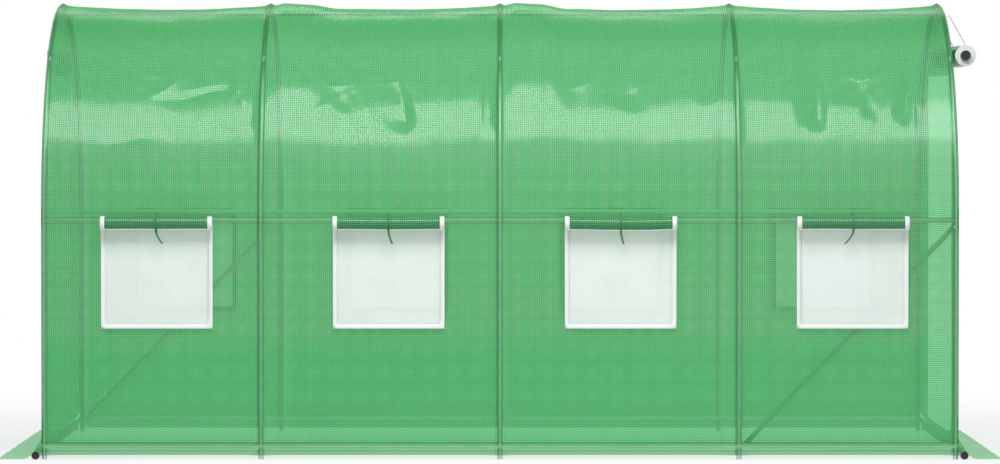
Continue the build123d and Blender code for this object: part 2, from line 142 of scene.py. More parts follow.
def polyethylene_film(name, thin, thick, pale_thread, see_through, threads=True):
    material = new_material(name)
    flat = add_node(material, "UVMap", uv_map="metres").outputs[0]
    cloudy = add_node(material, "TexNoise", {"Vector": flat, "Scale": 3.1, "Detail": 3.0}).outputs[0]
    crinkle = add_node(material, "TexNoise", {"Vector": flat, "Scale": 38.0, "Detail": 4.0, "Roughness": 0.6})
    colour = ramp(material, cloudy, thin, thick, 0.3, 0.7)
    height = crinkle.outputs[0]
    rough = add_node(material, "MapRange", {0: cloudy, 1: 0.3, 2: 0.7, 3: 0.34, 4: 0.44}).outputs[0]
    tints = []
    if threads:
        grid = thread_grid(material, flat, thread_pitch, thread_half_width)
        rough = add_node(material, "MapRange", {0: grid, 3: 0.42, 4: 0.15}).outputs[0]
        height = add_node(material, "Math", {0: grid, 1: 0.35, 2: height}, operation="MULTIPLY_ADD")
        height = height.outputs[0]
        # Painted light: the threads are tinted paler where light shines through the walls, and most on the
        # hem.
        painted_thread_light = add_node(material, "Attribute", attribute_name="painted_thread_light").outputs["Fac"]
        thread_light_amount = add_node(material, "Math", {0: painted_thread_light, 1: grid}, operation="MULTIPLY").outputs[0]
        tints += [(grid, pale_thread), (thread_light_amount, "#A8BFAE")]
        cells, on_threads = see_through * 3.2, see_through * 0.45
        see_through = add_node(material, "MapRange", {0: grid, 3: cells, 4: on_threads}).outputs[0]
    # Painted shade beside the tubes and rails, and a painted highlight over them, read from the sheet's
    # marks.
    for mark, tint in (("painted_tube_shade", "#12703A"), ("painted_tube_highlight", "#C4F2CF")):
        tints.append((add_node(material, "Attribute", attribute_name=mark).outputs["Fac"], tint))
    for amount, tint in tints:
        mix = add_node(material, "Mix", {0: amount, 6: colour, 7: linear(tint)}, data_type="RGBA")
        colour = mix.outputs[2]
    bump = add_node(material, "Bump", {"Height": height, "Strength": 0.25, "Distance": 0.0012}).outputs[0]
    surface = add_node(material, "BsdfPrincipled", {"Base Color": colour, "Roughness": rough, "Normal": bump})
    surface.inputs["IOR"].default_value = 1.51
    surface.inputs["Coat Weight"].default_value = 0.42
    surface.inputs["Coat Roughness"].default_value = 0.17
    through = add_node(material, "BsdfTranslucent", {"Color": colour, "Normal": bump})
    dust = add_node(material, "Attribute", attribute_name="dusty").outputs["Fac"]
    scattered = add_node(material, "MapRange", {0: dust, 3: 0.46, 4: 0.78}).outputs[0]
    both = add_node(material, "MixShader", {0: scattered, 1: surface.outputs[0], 2: through.outputs[0]})
    straight = add_node(material, "BsdfTransparent", {"Color": linear("#93EDA8")})
    clear = add_node(material, "MixShader", {0: see_through, 1: both.outputs[0], 2: straight.outputs[0]})
    return finish_material(material, clear.outputs[0])


film = polyethylene_film("woven_polyethylene_film", "#1C9F4E", "#2CA35B", "#6FC08C", 0.25)
flap_film = polyethylene_film("plain_polyethylene_film", "#63BE83", "#7CCB97", "#7CCB97", 0.25, threads=False)
print("film threads every", thread_pitch * 1000, "mm")

# %% [markdown]
# The other finishes are small areas but each has its own grain. Galvanised steel shows the zinc's crystals as
# soft patches of slightly different grey. The window screen is a fine white polyethylene mesh, too fine to
# draw thread by thread at this distance, so it is drawn at 5 mm. Hook-and-loop tape is fuzzy white nylon, the
# ties are woven polyester, and the plugs are moulded black polyethylene with a faint orange-peel.

# %% Steel, mesh, tape, strap and plug finishes
def galvanised_steel(name, dark, light, crystal):
    material = new_material(name)
    spot = add_node(material, "TexCoord").outputs["Object"]
    crystals = add_node(material, "TexVoronoi", {"Vector": spot, "Scale": 1 / crystal})
    streak = add_node(material, "TexNoise", {"Vector": spot, "Scale": 60.0, "Detail": 3.0})
    mottled = add_node(material, "Math", {0: crystals.outputs["Color"], 1: 0.5, 2: streak.outputs[0]},
                       operation="MULTIPLY_ADD").outputs[0]
    colour = ramp(material, mottled, dark, light, 0.3, 1.0)
    rough = add_node(material, "MapRange", {0: mottled, 1: 0.3, 2: 1.0, 3: 0.30, 4: 0.48}).outputs[0]
    bump = add_node(material, "Bump", {"Height": streak.outputs[0], "Strength": 0.15, "Distance": 0.0004})
    shader = add_node(material, "BsdfPrincipled", {
        "Base Color": colour, "Metallic": 1.0, "Roughness": rough, "Normal": bump.outputs[0]})
    return finish_material(material, shader.outputs[0])


def woven_mesh(name, shade, light, pitch, see_through):
    material = new_material(name)
    flat = add_node(material, "UVMap", uv_map="metres").outputs[0]
    grid = thread_grid(material, flat, pitch, pitch * 0.22)
    cloudy = add_node(material, "TexNoise", {"Vector": flat, "Scale": 7.0, "Detail": 3.0}).outputs[0]
    tone = add_node(material, "Math", {0: grid, 1: 0.35, 2: cloudy}, operation="MULTIPLY_ADD").outputs[0]
    colour = ramp(material, tone, shade, light, 0.35, 0.95)
    bump = add_node(material, "Bump", {"Height": grid, "Strength": 0.3, "Distance": 0.0005}).outputs[0]
    surface = add_node(material, "BsdfPrincipled", {"Base Color": colour, "Roughness": 0.7, "Normal": bump})
    through = add_node(material, "BsdfTranslucent", {"Color": colour})
    both = add_node(material, "MixShader", {0: 0.25, 1: surface.outputs[0], 2: through.outputs[0]})
    gaps = add_node(material, "MapRange", {0: grid, 3: see_through * 1.6, 4: see_through * 0.5}).outputs[0]
    straight = add_node(material, "BsdfTransparent")
    clear = add_node(material, "MixShader", {0: gaps, 1: both.outputs[0], 2: straight.outputs[0]})
    return finish_material(material, clear.outputs[0])


def woven_strap(name, shade, light, rib):
    material = new_material(name)
    flat = add_node(material, "UVMap", uv_map="metres").outputs[0]
    axes = add_node(material, "SeparateXYZ", {0: flat})
    ribs = add_node(material, "Math", {0: axes.outputs[1], 1: rib / 2}, operation="PINGPONG").outputs[0]
    fuzz = add_node(material, "TexNoise", {"Vector": flat, "Scale": 420.0, "Detail": 3.0}).outputs[0]
    height = add_node(material, "Math", {0: ribs, 1: 1.6 / rib, 2: fuzz}, operation="MULTIPLY_ADD").outputs[0]
    colour = ramp(material, height, shade, light, 0.4, 1.4)
    rough = add_node(material, "MapRange", {0: fuzz, 3: 0.65, 4: 0.9}).outputs[0]
    bump = add_node(material, "Bump", {"Height": height, "Strength": 0.5, "Distance": 0.0006}).outputs[0]
    shader = add_node(material, "BsdfPrincipled", {"Base Color": colour, "Roughness": rough, "Normal": bump})
    return finish_material(material, shader.outputs[0])


def moulded_plastic(name, shade, light, peel):
    material = new_material(name)
    spot = add_node(material, "TexCoord").outputs["Object"]
    skin = add_node(material, "TexNoise", {"Vector": spot, "Scale": 1 / peel, "Detail": 2.0}).outputs[0]
    colour = ramp(material, skin, shade, light, 0.35, 0.65)
    rough = add_node(material, "MapRange", {0: skin, 3: 0.34, 4: 0.5}).outputs[0]
    bump = add_node(material, "Bump", {"Height": skin, "Strength": 0.2, "Distance": 0.0003}).outputs[0]
    shader = add_node(material, "BsdfPrincipled", {"Base Color": colour, "Roughness": rough, "Normal": bump})
    return finish_material(material, shader.outputs[0])


tube_steel = galvanised_steel("galvanised_steel_tube", "#9FA5A7", "#C9CDCE", 0.009)
zinc_plate = galvanised_steel("zinc_plated_pressed_steel", "#A9ADAF", "#D3D6D7", 0.004)
screen = woven_mesh("white_polyethylene_mesh", "#F7F4F6", "#FFFDFF", 0.005, 0.14)
tape = woven_strap("white_hook_and_loop_tape", "#E4E8E8", "#F4F6F6", 0.003)
tie_webbing = woven_strap("green_polyester_webbing", "#2C6B43", "#4F8F66", 0.0015)
grey_webbing = woven_strap("grey_polyester_webbing", "#7F8B85", "#A5AFAA", 0.0015)
zip_coil = woven_strap("white_nylon_coil_zip", "#C9CFCC", "#EEF1F0", 0.0025)
plug_plastic = moulded_plastic("black_moulded_polyethylene", "#0C0D0D", "#191A1A", 0.0015)

# %% [markdown]
# The tubes, clips, braces and plugs are good as they came, so they only get their finishes. A node's mesh is
# never touched: its material slots are cleared and one is appended.

# %% Finishes for the rigid parts
steel_nodes = ["front_legs", "back_legs", "ridge_rail", "mid_rails", "bottom_rails", "end_rails", "braces"]
steel_nodes += [f"hoop_{n}_arch" for n in range(1, 6)] + ["ground_bars", "right_door_bar"]
finishes = {name: tube_steel for name in steel_nodes}
finishes.update({name: zinc_plate for name in ("ridge_clips", "mid_clips", "bottom_clips", "brace_bushes")})
finishes.update({name: plug_plastic for name in ("bar_plugs", "door_bar_plugs")})
for name, material in finishes.items():
    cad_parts[name].data.materials.clear()
    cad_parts[name].data.materials.append(material)
print("finished", len(finishes), "rigid nodes")

# %% [markdown]
# A sheet is easiest to make as a grid that knows two things about each point: where it was on the flat cloth,
# kept as a UV map in metres, and where it hangs now. One builder takes the stations along both edges and a
# function that places a point, and leaves out the faces that fall in an opening. A cloth simulation could
# hang the sheet too, but a cover this tight is better drawn: its sag between hoops is known and its folds
# are few.

# %% Sheet builder
def stations(start, end, step, marks=()):
    """Evenly spaced places from start to end, with extra marks that the edges of an opening need."""
    count = max(1, round((end - start) / step))
    places = [start + (end - start) * i / count for i in range(count + 1)]
    marks = [m for m in marks if start < m < end]
    places = [p for p in places if all(abs(p - m) > step * 0.35 for m in marks) or p in (start, end)]
    return sorted(set(places + marks))


def make_sheet(name, across, along, place, keep=None, material_of=None, materials=(film,), marks=None):
    """A sheet of one layer. place turns a flat point into one in the room, and marks are painted values."""
    grid = bmesh.new()
    metres = grid.loops.layers.uv.new("metres")
    marks = {grid.verts.layers.float.new(word): value for word, value in (marks or {}).items()}
    corner = {}
    for i in range(len(across) - 1):
        for j in range(len(along) - 1):
            middle = ((across[i] + across[i + 1]) / 2, (along[j] + along[j + 1]) / 2)
            if keep and not keep(*middle):
                continue
            ring = [(i, j), (i + 1, j), (i + 1, j + 1), (i, j + 1)]
            for a, b in ring:
                if (a, b) not in corner:
                    corner[a, b] = grid.verts.new(place(across[a], along[b]))
                    for layer, value in marks.items():
                        corner[a, b][layer] = value(across[a], along[b])
            face = grid.faces.new([corner[spot] for spot in ring])
            face.smooth = True
            face.material_index = material_of(*middle) if material_of else 0
            for loop, (a, b) in zip(face.loops, ring):
                loop[metres].uv = (across[a], along[b])
    mesh = bpy.data.meshes.new(name)
    grid.to_mesh(mesh)
    grid.free()
    for material in materials:
        mesh.materials.append(material)
    sheet = bpy.data.objects.new(name, mesh)
    bpy.context.scene.collection.objects.link(sheet)
    return sheet


def select_only(*pieces):
    """Select these pieces and no others, the first as the active one."""
    bpy.ops.object.select_all(action="DESELECT")
    for piece in pieces:
        piece.select_set(True)
    bpy.context.view_layer.objects.active = pieces[0]


def join_pieces(pieces, name):
    select_only(*pieces)
    bpy.ops.object.join()
    pieces[0].name = name
    pieces[0].select_set(False)
    return pieces[0]


def give_thickness(piece, thickness):
    """Solidify a strap or tape and apply it, so that its edge shows."""
    select_only(piece)
    solid = piece.modifiers.new("thickness", "SOLIDIFY")
    solid.thickness = thickness
    solid.offset = 0
    bpy.ops.object.modifier_apply(modifier=solid.name)
    piece.select_set(False)


# %% [markdown]
# The cover runs in one piece from the hem at the front, up the wall, over the hoops and down to the hem at
# the back. So a place on it is given by X along the tunnel and by the run over this cross-section, and one
# function turns the run into a height and a direction. The sizes below are those of the frame.

# %% Places on the tunnel
hoops = [-2.130, -1.117, 0.0, 1.117, 2.130]
spring = 1.137
skin = 1.0138
wrap_radius = 0.0138
hem_bottom = 0.019
arc_length = math.pi * skin
wall_run = spring - hem_bottom
cover_run = 2 * wall_run + arc_length
window_middles = [-1.6025, -0.5195, 0.5635, 1.6465]
opening_half = 0.2395
opening_low, opening_high = 0.633, 1.109
joint_lift = math.radians(47.5)
bolt_turn = 0.012
tube_face = 1.0125
mid_clip_z, mid_rail_z = 1.118, 1.1165
rail_z = 0.0635


def around(run):
    """Y, Z and the outward direction at a run along the cover's cross-section, from the front hem."""
    if run < wall_run:
        return -skin, hem_bottom + run, Vector((0, -1, 0))
    if run > wall_run + arc_length:
        return skin, hem_bottom + cover_run - run, Vector((0, 1, 0))
    angle = (run - wall_run) / skin
    out = Vector((0, -math.cos(angle), math.sin(angle)))
    return skin * out.y, spring + skin * out.z, out


def turned_by(angle):
    """The direction at an angle in a plane, as a point one away from its origin."""
    return Vector((math.cos(angle), math.sin(angle)))


def smooth(value):
    value = min(1.0, max(0.0, value))
    return value * value * (3 - 2 * value)


def past_hoop(x):
    """How far x lies to the right of the nearest hoop."""
    return min((x - hoop for hoop in hoops), key=abs)


print("cover", round(cover_run, 3), "m from hem to hem, over", len(hoops), "hoops")

# %% [markdown]
# The cover's folds come in four kinds. Pleats are pulled in beside the hoops where it was hauled tight: each
# sinks slowly along the tunnel and then steps back up. Creases are sharp lines left from packing. It stands
# up in a small cone over each bolt head, and it is slack to the right of two hoops. They are listed here by
# place, since a simulated cloth wouldn't fold where the real one does. The back has the same folds, turned.

# %% Pleats, creases and bolt heads
def bump_at(x, run, x_mid, run_mid, x_size, run_size):
    return math.exp(-((x - x_mid) / x_size) ** 2 - ((run - run_mid) / run_size) ** 2)


def pleat_at(x, run, start, end, low, high, depth, lean=0.0):
    """A pleat of the cover: it sinks slowly from start to end along the tunnel, then steps back up."""
    share = (x - start - lean * (run - low)) / (end - start)
    if not 0 < share < 1.3:
        return 0.0
    profile = share if share < 1 else 1 - (share - 1) / 0.3
    return -depth * profile * smooth((run - low) / 0.13) * smooth((high - run) / 0.30)


def crease_at(x, run, x_low, run_low, x_high, run_high, width, height):
    """A sharp crease along a line from a low place to a high one, four times steeper on its upper side."""
    direction = Vector((x_high - x_low, run_high - run_low))
    length = direction.length
    direction /= length
    offset = Vector((x - x_low, run - run_low))
    share = offset.dot(direction) / length
    if not 0 < share < 1:
        return 0.0
    across = direction.x * offset.y - direction.y * offset.x
    slope_width = width * 0.25 if across > 0 else width
    return height * smooth(share / 0.3) * smooth((1 - share) / 0.3) * math.exp(-abs(across) / slope_width)


bolt_lift = joint_lift - bolt_turn
bolt_runs = [wall_run + skin * bolt_lift, wall_run + skin * bolt_turn]
bolt_runs += [mid_clip_z - hem_bottom, rail_z - hem_bottom]
brace_bolts = [(2.124, -1, 1.087), (-1.123, 1, 1.087)]
pleats = [
    (-1.122, -1.172, 1.50, 2.10, 0.014), (-0.006, -0.060, 1.50, 2.10, 0.016),
    (-0.585, -0.420, 1.50, 2.05, 0.016, -0.20), (-0.530, -0.425, 1.47, 1.85, 0.011, -0.14),
    (-0.775, -0.700, 1.60, 1.90, 0.013, -0.34), (-0.690, -0.650, 1.62, 1.90, 0.006, -0.34),
    (0.90, 0.985, 1.66, 2.10, 0.012), (1.378, 1.500, 1.50, 2.15, 0.015), (1.440, 1.512, 1.49, 1.95, 0.010),
    (1.04, 1.085, 1.68, 2.00, 0.008), (1.56, 1.69, 1.66, 2.00, 0.012),
    (1.700, 1.742, 1.56, 2.00, 0.012, -0.10), (1.752, 1.788, 1.52, 1.95, 0.012, -0.05),
    (1.79, 1.815, 1.62, 1.95, 0.006), (1.831, 1.900, 1.53, 2.15, 0.015, 0.10),
    (1.90, 1.922, 1.50, 1.95, 0.006), (1.925, 1.972, 1.50, 2.15, 0.012),
    (0.52, 0.66, 1.63, 1.95, 0.014, -0.30), (0.600, 0.655, 1.60, 1.85, 0.008, -0.25),
    (0.19, 0.235, 1.55, 1.95, 0.006),
]
creases = [
    (-1.643, 1.715, -1.475, 1.895, 0.030, 0.009), (-1.76, 1.830, -1.480, 1.880, 0.022, 0.006),
    (-1.64, 1.700, -1.20, 1.790, 0.07, -0.009), (-1.268, 1.70, -1.235, 1.90, 0.014, 0.006),
    (-1.205, 1.64, -1.255, 1.90, 0.012, 0.005), (-0.95, 1.80, -0.30, 1.83, 0.030, 0.006),
    (0.32, 1.78, 0.54, 1.90, 0.026, 0.007), (1.10, 1.83, 1.40, 1.835, 0.014, 0.005),
    (-1.95, 1.45, -1.55, 1.52, 0.08, 0.005), (1.60, 1.87, 1.80, 1.83, 0.020, 0.006),
    (-0.90, 1.60, -0.72, 1.78, 0.020, 0.004), (0.70, 1.86, 1.02, 1.83, 0.030, 0.006),
]
slack_hoops = (hoops[1], hoops[2])
bolt_stand, crown_stand = 0.0058, 0.0030


def fold_depth(x, front, mirror, free):
    """How far pleats and creases move the cover. Noise bends their lines, so that none runs straight."""
    if not 1.25 < front < 2.3:
        return 0.0
    bent_x = x * mirror + 0.016 * free * noise.noise(Vector((x * 8, front * 8, 5.0)))
    bent_run = front + 0.022 * noise.noise(Vector((x * 7, front * 7, 15.0)))
    folds = sum(pleat_at(bent_x, bent_run, *pleat) for pleat in pleats)
    return folds + sum(crease_at(bent_x, bent_run, *crease) for crease in creases)


def bolt_depth(x, run, front, side):
    """How far the cover stands up over the bolt heads."""
    spots = [(hoop, spot) for spot in bolt_runs for hoop in hoops]
    spots += [(bolt_x, z - hem_bottom) for bolt_x, bolt_side, z in brace_bolts if side * bolt_side > 0]
    depth = sum(bolt_stand * bump_at(x, front, *spot, 0.014, 0.014) for spot in spots)
    crown_run = abs(run - cover_run / 2)
    if crown_run < 0.06:
        depth += sum(crown_stand * bump_at(x, crown_run, hoop, 0.0, 0.026, 0.026) for hoop in hoops)
    return depth


print(len(pleats), "pleats,", len(creases), "creases")

# %% [markdown]
# Between the hoops the cover touches nothing, so it dips a little there, most at the crown and least at the
# foot, with slow waves and fine crinkles on top. Beside a hoop it leaves the tube at once. At its foot it is
# drawn in under the bottom rail. At both ends it wraps a little way round the last hoop.

# %% The cover's shape
foot_sag, crown_sag = 0.006, 0.016
wrap_drop = 0.0065
slack_rise = 0.017
wrap_turn = math.radians(80)


def bay_share(x):
    """0 at a hoop and 1 midway between two."""
    for left, right in zip(hoops, hoops[1:]):
        if left < x < right:
            share = (x - left) / (right - left)
            return 4 * share * (1 - share)
    return 0.0


def crinkle(x, run):
    slow = noise.noise(Vector((x * 1.7, run * 4.2, 3.0))) * 0.0045
    quick = noise.noise(Vector((x * 6.0, run * 9.0, 9.0))) * 0.0016
    return slow + quick + noise.noise(Vector((x * 17.0, run * 5.0, 19.0))) * 0.0011


def cover_depth(x, run):
    """How far the cover stands out of its tight shape, in metres."""
    y, z = around(run)[:2]
    crown = smooth((z - 0.5) / 1.6)
    inside = abs(past_hoop(x))
    free = smooth(inside / 0.10)
    depth = -bay_share(x) * (foot_sag + crown_sag * crown)
    depth += free * smooth((z - 0.04) / 0.2) * crinkle(x, run) * (0.35 + 0.65 * crown)
    depth -= wrap_drop * (1 - math.exp(-(inside / 0.014) ** 2)) * smooth((z - 0.12) / 0.1)
    front = min(run, cover_run - run)
    mirror = 1 if run < cover_run / 2 else -1
    depth += smooth(inside / 0.03) * fold_depth(x, front, mirror, free)
    for hoop in slack_hoops:
        past = x - hoop
        rise = smooth((past - 0.015) / 0.06) * (1 - smooth((past - 0.20) / 0.13))
        depth += slack_rise * rise * smooth((front - 1.60) / 0.26)
    if abs(x) < hoops[-1]:
        tuck = (1 - smooth((z - 0.066) / 0.045)) * smooth(inside / 0.09)
        depth -= tuck * (0.021 + 0.003 * noise.noise(Vector((x * 5.0, z * 12.0, 20.0))))
    return depth + bolt_depth(x, run, front, y)


def place_cover(x, run):
    y, z, out = around(run)
    spot = Vector((x, y, z)) + out * cover_depth(x, run)
    past = abs(x) - hoops[-1]
    if past > 0:
        lean = min(past / wrap_radius, wrap_turn)
        turned = hoops[-1] + wrap_radius * math.sin(lean)
        spot.x = math.copysign(turned, x)
        spot -= out * wrap_radius * (1 - math.cos(lean))
    return spot


def in_window(x, run):
    z = around(run)[1]
    on_wall = run < wall_run or run > wall_run + arc_length
    across_opening = any(abs(x - middle) < opening_half for middle in window_middles)
    return on_wall and opening_low < z < opening_high and across_opening


print("the cover dips", round(-cover_depth(0.56, cover_run / 2) * 1000, 1), "mm at the crown")

# %% [markdown]
# The marks that the film's finish reads are painted point by point. A peak is a soft stripe round a place, 1
# in its middle. Over a tube, over the rails and over the shoulder bolts the film gets a painted highlight, a
# pale line. Beside a tube, most on its left, and beside the rails it gets a painted shade. On the back the
# painted highlight is also drawn beside the tube, where it can be seen past the tube from the front.

# %% Marks for the finish: painted highlight, painted shade, painted light on the threads, dust
def peak(offset, width):
    return math.exp(-(offset / width) ** 2)


def above_shoulder(z):
    return smooth((z - 1.72) / 0.14)


def painted_tube_highlight(x, run):
    """A painted highlight: a thin pale line over each tube from the shoulder down, over the shoulder bolts
    and along the rails.
    """
    z = around(run)[1]
    past = past_hoop(x)
    line = 0.72 * peak(past, 0.0048)
    if run > cover_run / 2:
        line = max(line, peak(past - 0.019, 0.007))
    line *= 1 - above_shoulder(z)
    bolt = 1.2 * peak(past, 0.005) * peak(min(run, cover_run - run) - bolt_runs[0], 0.006)
    mid_rail = 0.22 * peak(z - mid_rail_z, 0.007)
    bottom_rail = 0.95 * peak(z - rail_z + 0.004, 0.0095)
    return min(1.0, max(line, bolt, mid_rail, bottom_rail))


def painted_tube_shade(x, run):
    """Painted shade beside each tube, most on its left, and beside the rails, where the film turns away and
    no light comes through it.
    """
    z = around(run)[1]
    past = past_hoop(x)
    crown = above_shoulder(z)
    closer = 0.006 * crown
    left = 0.80 * peak(past + 0.0125 - closer, 0.0052)
    right = (0.35 + 0.40 * crown) * peak(past - 0.011 + closer, 0.0045)
    rails = 0.40 * peak(abs(z - rail_z + 0.004) - 0.020, 0.005)
    rails += 0.40 * peak(abs(z - mid_rail_z) - 0.0125, 0.0035)
    return min(0.9, max(left, right) + rails)


def painted_thread_light(x, run):
    """Painted light on the threads: paler in soft squares on the walls, little near the foot, most on the
    hem.
    """
    z = around(run)[1] + 0.02 * noise.noise(Vector((x * 2, run * 2, 70)))
    squares = (0.5 + 0.5 * math.cos(x * math.tau / 0.081)) * (0.5 + 0.5 * math.cos(run * math.tau / 0.084))
    wall = smooth((z - 0.50) / 0.08) * (1 - 0.7 * smooth((z - 1.45) / 0.12))
    hem = 1 - smooth((z - 0.034) / 0.02)
    return 0.06 + (0.20 + 0.56 * squares) * wall + 0.94 * hem


def dusty(x, run):
    """Where dust lies, on the crown."""
    return smooth((around(run)[1] - 1.90) / 0.16)


print("haze on the hem", round(painted_thread_light(0, 0), 2), "and on the crown", round(painted_thread_light(0, cover_run / 2), 2))

# %% [markdown]
# The grid's stations lie 18 mm apart along the tunnel and 24 mm over it. Extra ones are added where something
# small happens: beside each hoop, along the window openings, at the hem, at the bolts and the mid rail, and
# in the band of the shoulder where the folds catch the light.

# %% The cover
wrap_reach = wrap_radius * wrap_turn
hoop_steps = (-0.024, -0.016, -0.01, -0.005, 0, 0.005, 0.01, 0.016, 0.024)
x_marks = [hoop + step for hoop in hoops for step in hoop_steps]
x_marks += [middle + side * opening_half for middle in window_middles for side in (-1, 1)]
run_marks = [opening_low - hem_bottom, opening_high - hem_bottom, wall_run]
run_marks += [0.006 * step for step in range(1, 15)] + bolt_runs
run_marks += [mid_rail_z - hem_bottom + 0.0042 * step for step in range(-5, 6)]
run_marks += [1.50 + 0.011 * step for step in range(36)]
run_marks += [cover_run - mark for mark in run_marks]
cover_across = stations(hoops[0] - wrap_reach, hoops[-1] + wrap_reach, 0.018, x_marks)
cover_along = stations(0, cover_run, 0.024, run_marks)
# The cover carries its painted highlight, painted shade, painted light on the threads and dust as marks.
cover = make_sheet("cover_sheet", cover_across, cover_along, place_cover,
                   keep=lambda x, run: not in_window(x, run),
                   marks={"painted_tube_highlight": painted_tube_highlight, "painted_tube_shade": painted_tube_shade, "painted_thread_light": painted_thread_light, "dusty": dusty})
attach(cover, "root")
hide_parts(*[f"roof_cover_{n}" for n in range(1, 9)],
            "front_wall_lower", "front_wall_header", "front_wall_piers",
            "back_wall_lower", "back_wall_header", "back_wall_piers")

# %% [markdown]
# Each end wall is a panel sewn to the cover round the last hoop, with a doorway cut in it. Its grid has three
# groups of columns, left of the doorway, over it and right of it, so that the doorway's edge falls on the
# grid lines and the wall needs no cutting. It hangs with shallow drapes that run down from the arch.

# %% End walls
doorway_half = 0.6
doorway_head = 1.8
wall_foot = 0.092
wall_x = 2.1436
edge = skin - wrap_radius * (1 - math.cos(wrap_turn))
billow = 0.003


def half_width(z):
    if z < spring:
        return edge
    return math.sqrt(max(0.0, edge ** 2 - (z - spring) ** 2))


def place_wall(side):
    head_width = half_width(doorway_head)

    def place(share, z):
        width = half_width(z)
        door = doorway_half if z <= doorway_head else doorway_half * width / head_width
        if abs(share) <= 1:
            y = share * door
        else:
            y = math.copysign(door + (abs(share) - 1) * (width - door), share)
        held = smooth((width - abs(y)) / 0.08) * smooth((z - wall_foot) / 0.1)
        ripple = noise.noise(Vector((y * 5.0, z * 1.4, 30 + side))) * 0.0045
        return Vector((side * (wall_x + (ripple + billow) * held), side * y, z))
    return place


shares = [-2 + i / 18 for i in range(18)] + [-1 + i / 24 for i in range(48)] + [1 + i / 18 for i in range(19)]
wall_rows = stations(wall_foot, spring, 0.03)
head_turn = math.asin((doorway_head - spring) / edge)
wall_rows += [spring + edge * math.sin(head_turn * i / 20) for i in range(1, 21)]
wall_rows += [spring + edge * math.sin(head_turn + (math.pi / 2 - head_turn) * i / 18) for i in range(1, 19)]
wall_rows[wall_rows.index(min(wall_rows, key=lambda z: abs(z - doorway_head)))] = doorway_head
end_area = math.pi * edge ** 2 / 2 + 2 * edge * (spring - wall_foot)
end_area -= 2 * doorway_half * (doorway_head - wall_foot)
for side, word in ((1, "right"), (-1, "left")):
    wall = make_sheet(f"{word}_end_wall", shares, wall_rows, place_wall(side),
                      keep=lambda share, z: z > doorway_head or abs(share) > 1)
    for loop in wall.data.loops:
        spot = wall.data.vertices[loop.vertex_index].co
        wall.data.uv_layers["metres"].data[loop.index].uv = (spot.y, spot.z)
    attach(wall, "root")
    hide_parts(f"{word}_end_gable", f"{word}_end_sides")
    print(word, "end wall", len(wall.data.polygons), "faces")

# %% [markdown]
# A window flap is the same film with white hook-and-loop tape on its sides and foot. It is rolled up from the
# foot and tied over the opening. A roll is a spiral: the run along the flap gives an angle and a radius
# that shrinks by the loose pitch of the turns. Building it as one sheet shows the turns at both ends.

# %% Rolled sheets
def spiral_point(run, lead, radius, pitch, start):
    """A point of a rolled sheet round the origin: a straight lead tangent to the roll, then its turns."""
    if run < lead:
        tangent = Vector((-math.sin(start), math.cos(start)))
        return turned_by(start) * radius - tangent * (run - lead)
    turned = run - lead
    angle = (radius - math.sqrt(max(0.0, radius ** 2 - turned * pitch / math.pi))) / (pitch / (2 * math.pi))
    now = radius - pitch * angle / (2 * math.pi)
    return turned_by(start - angle) * now


flap_width = 0.521
flap_length = 0.50
flap_roll_radius = 0.0322
flap_lead = 0.030
flap_turn_pitch = 0.0042
flap_tape = 0.021
stitch_strip = (0.117, 0.145)
roll_y, roll_z = 1.0501, 1.104
wall_face = 1.0160
windows = [(side, middle) for side in (-1, 1) for middle in window_middles]


def place_flap(middle, side, seed):
    def place(x, run):
        spot = spiral_point(run, flap_lead, flap_roll_radius, flap_turn_pitch, math.radians(105))
        bulge = 1 + 0.035 * noise.noise(Vector((x * 7, run * 3, seed)))
        slump = 0.0015 * noise.noise(Vector((x * 4, 0.0, seed + 5)))
        droop = -0.0025 * math.sin(math.pi * (x / flap_width + 0.5)) * (seed % 3)
        out = roll_y + min(spot.x * bulge, flap_roll_radius)
        if run < flap_lead:
            out = max(out, wall_face)
        return Vector((middle - side * x, side * out, roll_z + spot.y * bulge + slump + droop))
    return place


def flap_parts(x, run):
    """Tape on the flap's sides and foot, and across it where the closing strip is sewn on."""
    on_tape = abs(x) > flap_width / 2 - flap_tape or run > flap_length - flap_tape
    return 1 if on_tape or stitch_strip[0] < run < stitch_strip[1] else 0


def tape_strips(name, places, along, place, thickness):
    """The thick side tapes of a rolled sheet, which fill the gaps between its turns at both ends."""
    strips = []
    for start, end in places:
        strip = make_sheet(name, [start, (start + end) / 2, end], along, place, materials=(tape,))
        give_thickness(strip, thickness)
        strips.append(strip)
    return join_pieces(strips, name)


def side_strips(width, tape_width):
    """Where the tapes of a sheet's two sides start and end."""
    return [(-width / 2, -width / 2 + tape_width), (width / 2 - tape_width, width / 2)]


flap_sides = side_strips(flap_width, flap_tape)
flap_across = stations(-flap_width / 2, flap_width / 2, 0.018, [flap_sides[0][1], flap_sides[1][0]])
flap_along = stations(0, flap_length, 0.0065)
for number, (side, middle) in enumerate(windows):
    place = place_flap(middle, side, number)
    flap = make_sheet(f"window_flap_{number + 1}", flap_across, flap_along, place,
                      material_of=flap_parts, materials=(film, tape))
    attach(flap, "root")
    edge_tape = tape_strips(f"window_flap_tape_{number + 1}", flap_sides, flap_along[5:], place, 0.0026)
    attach(edge_tape, "root")
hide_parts("window_rolls")

# %% [markdown]
# The tape frames are flat strips sewn round each opening, with corners that were turned under and so look
# slightly rounded. The mesh screen is sewn behind the opening and hangs a little loose, which shows as slow
# soft shades. Both are made from the same builder, the tape with a thickness so that its edge catches light.

# %% Tape frames and mesh screens
frame_half = 0.2605
tape_low, tape_high = 0.612, 1.130
corner_round = 0.010
tape_y, screen_y = 1.0159, 1.0121


